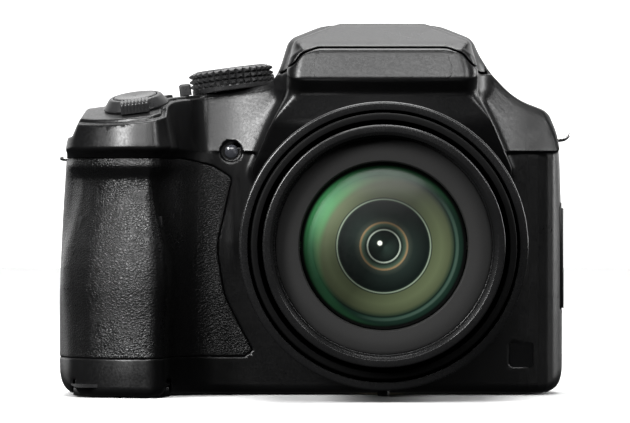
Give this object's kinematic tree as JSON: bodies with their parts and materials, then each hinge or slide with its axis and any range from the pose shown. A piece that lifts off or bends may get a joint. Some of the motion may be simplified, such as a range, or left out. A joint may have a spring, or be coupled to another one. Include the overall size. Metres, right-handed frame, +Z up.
{
  "type": "bridge camera",
  "caption": "Bridge camera with an extending zoom lens, pop-up flash over the lens, deep grip, mode dial, zoom lever, rear screen and eye-level finder.",
  "frame": {"origin": "mouth of the tripod socket in the underside, straight below the lens axis", "axes": "-Y is the way the lens looks, +X is towards the side away from the hand grip, +Z is up"},
  "size_m": [0.1343, 0.1185, 0.0959],
  "materials": {
    "body_plastic": "fine-textured black moulded plastic",
    "dark_plastic": "smooth dark plastic",
    "gloss_black": "polished black plastic",
    "grip_leatherette": "black leather-grained rubber",
    "barrel_metal": "satin black paint",
    "ring_grey": "dull dark grey",
    "coated_glass": "multicoated optical glass",
    "clear_glass": "clear optical glass",
    "screen_glass": "black screen window",
    "steel": "bright steel",
    "stamped_metal": "stamped light alloy",
    "board_green": "solder-masked board",
    "cell_grey": "battery can with plastic sleeve",
    "card_blue": "memory card shell",
    "rubber_black": "soft black rubber",
    "lamp_amber": "amber lamp window",
    "window_clear": "ribbed clear flash window",
    "brass_thread": "plated brass"
  },
  "bodies": {
    "camera_body": {"front_case": "body_plastic", "rear_case": "body_plastic", "top_case": "body_plastic", "front_plate": "body_plastic", "grip_skin": "grip_leatherette", "flash_pin": "steel", "lens_shroud": "body_plastic", "guide_rods": "steel", "chassis": "stamped_metal", "image_sensor": "board_green", "main_board": "board_green", "zoom_motor": "steel", "flash_capacitor": "cell_grey", "battery_box": "dark_plastic", "card_slot": "steel", "door_pin": "steel", "io_ports": "steel", "lcd_window": "screen_glass", "lcd_module": "stamped_metal", "evf_unit": "dark_plastic", "eyepiece_lens": "clear_glass", "eyecup": "rubber_black", "tripod_socket": "brass_thread", "feet": "rubber_black", "base_screws": "steel", "strap_lugs": "steel", "af_lamp": "lamp_amber", "badge_plate": "gloss_black"},
    "outer_barrel": {"zoom_barrel_outer": "dark_plastic"},
    "inner_barrel": {"zoom_barrel_inner": "barrel_metal", "name_ring": "ring_grey", "front_lens": "coated_glass"},
    "variator": {"variator_frame": "dark_plastic", "variator_lens": "clear_glass", "iris_unit": "stamped_metal"},
    "focus_group": {"focus_frame": "dark_plastic", "focus_lens": "clear_glass"},
    "flash": {"flash_cap": "body_plastic", "flash_reflector": "stamped_metal", "flash_window": "window_clear"},
    "flash_key": {"flash_button": "dark_plastic"},
    "battery_hatch": {"battery_door": "body_plastic"},
    "hatch_latch": {"door_latch": "dark_plastic"},
    "battery_pack": {"battery": "cell_grey"},
    "card": {"memory_card": "card_blue"},
    "side_cover": {"terminal_cover": "body_plastic"},
    "thumb_wheel": {"thumb_dial": "dark_plastic"},
    "diopter_wheel": {"diopter_dial": "dark_plastic"},
    "mode_wheel": {"mode_dial": "dark_plastic"},
    "zoom_rocker": {"zoom_lever": "body_plastic"},
    "shutter_key": {"shutter_button": "gloss_black"},
    "power_slide": {"power_switch": "dark_plastic"},
    "movie_key": {"movie_button": "dark_plastic"},
    "burst_key": {"burst_button": "dark_plastic"},
    "ae_lock_key": {"ae_lock_button": "dark_plastic"},
    "evf_key": {"evf_button": "dark_plastic"},
    "play_key": {"play_button": "dark_plastic"},
    "delete_key": {"delete_button": "dark_plastic"},
    "cursor_key": {"cursor_pad": "dark_plastic"},
    "set_key": {"set_button": "dark_plastic"}
  },
  "joints": [
    {"name": "zoom_outer", "type": "slide", "parent": "camera_body", "child": "outer_barrel", "axis": [0, -1, 0], "range_m": [0, 0.024]},
    {"name": "zoom_inner", "type": "slide", "parent": "outer_barrel", "child": "inner_barrel", "axis": [0, -1, 0], "range_m": [0, 0.024]},
    {"name": "variator_travel", "type": "slide", "parent": "camera_body", "child": "variator", "axis": [0, -1, 0], "range_m": [0, 0.008]},
    {"name": "focus_travel", "type": "slide", "parent": "camera_body", "child": "focus_group", "axis": [0, -1, 0], "range_m": [-0.002, 0.004]},
    {"name": "flash_tilt", "type": "hinge", "parent": "camera_body", "child": "flash", "pos_m": [0, -0.01, 0.0916], "axis": [-1, 0, 0], "range_deg": [0, 55]},
    {"name": "flash_key_press", "type": "slide", "parent": "camera_body", "child": "flash_key", "axis": [0.1289, 0, -0.9917], "range_m": [0, 0.0006], "stiffness_N_per_m": 300},
    {"name": "hatch_turn", "type": "hinge", "parent": "camera_body", "child": "battery_hatch", "pos_m": [-0.0668, 0.0064, 0.001], "axis": [1, 0, 0], "range_deg": [0, 95]},
    {"name": "latch_slide", "type": "slide", "parent": "battery_hatch", "child": "hatch_latch", "axis": [0, 1, 0], "range_m": [0, 0.0025]},
    {"name": "battery_eject", "type": "slide", "parent": "camera_body", "child": "battery_pack", "axis": [0, 0, -1], "range_m": [0, 0.0025]},
    {"name": "card_eject", "type": "slide", "parent": "camera_body", "child": "card", "axis": [0, 0, -1], "range_m": [0, 0.0025]},
    {"name": "cover_turn", "type": "hinge", "parent": "camera_body", "child": "side_cover", "pos_m": [0.0467, -0.005, 0.035], "axis": [0, 0, -1], "range_deg": [0, 95]},
    {"name": "thumb_wheel_turn", "type": "hinge", "parent": "camera_body", "child": "thumb_wheel", "pos_m": [-0.06, 0.0165, 0.0705], "axis": [0, 0, 1], "continuous": true},
    {"name": "diopter_turn", "type": "hinge", "parent": "camera_body", "child": "diopter_wheel", "pos_m": [0.02, 0.0209, 0.0726], "axis": [1, 0, 0], "range_deg": [-150, 150]},
    {"name": "mode_turn", "type": "hinge", "parent": "camera_body", "child": "mode_wheel", "pos_m": [-0.0385, 0, 0.0786], "axis": [-0.1289, 0, 0.9917], "continuous": true},
    {"name": "zoom_rock", "type": "hinge", "parent": "camera_body", "child": "zoom_rocker", "pos_m": [-0.0629, -0.028, 0.0739], "axis": [-0.1289, -0.1973, 0.9718], "range_deg": [-25, 25], "stiffness_Nm_per_rad": 0.02},
    {"name": "shutter_press", "type": "slide", "parent": "camera_body", "child": "shutter_key", "axis": [0.1289, 0.1973, -0.9718], "range_m": [0, 0.0014], "stiffness_N_per_m": 400},
    {"name": "power_travel", "type": "slide", "parent": "camera_body", "child": "power_slide", "axis": [0, 1, 0], "range_m": [0, 0.003]},
    {"name": "movie_press", "type": "slide", "parent": "camera_body", "child": "movie_key", "axis": [0.1289, 0, -0.9917], "range_m": [0, 0.0006], "stiffness_N_per_m": 300},
    {"name": "burst_press", "type": "slide", "parent": "camera_body", "child": "burst_key", "axis": [0.1289, 0, -0.9917], "range_m": [0, 0.0006], "stiffness_N_per_m": 300},
    {"name": "ae_lock_press", "type": "slide", "parent": "camera_body", "child": "ae_lock_key", "axis": [0, -1, 0], "range_m": [0, 0.0006], "stiffness_N_per_m": 300},
    {"name": "evf_press", "type": "slide", "parent": "camera_body", "child": "evf_key", "axis": [0, -1, 0], "range_m": [0, 0.0006], "stiffness_N_per_m": 300},
    {"name": "play_press", "type": "slide", "parent": "camera_body", "child": "play_key", "axis": [0, -1, 0], "range_m": [0, 0.0006], "stiffness_N_per_m": 300},
    {"name": "delete_press", "type": "slide", "parent": "camera_body", "child": "delete_key", "axis": [0, -1, 0], "range_m": [0, 0.0006], "stiffness_N_per_m": 300},
    {"name": "cursor_press", "type": "slide", "parent": "camera_body", "child": "cursor_key", "axis": [0, -1, 0], "range_m": [0, 0.0006], "stiffness_N_per_m": 300},
    {"name": "set_press", "type": "slide", "parent": "camera_body", "child": "set_key", "axis": [0, -1, 0], "range_m": [0, 0.0006], "stiffness_N_per_m": 300}
  ],
  "couplings": [
    {"joint": "zoom_inner", "follows": "zoom_outer", "ratio": 1},
    {"joint": "variator_travel", "follows": "zoom_outer", "ratio": 0.3333},
    {"joint": "hatch_turn", "follows": "battery_eject", "rad_per_m": 663},
    {"joint": "card_eject", "follows": "battery_eject", "ratio": 1}
  ]
}
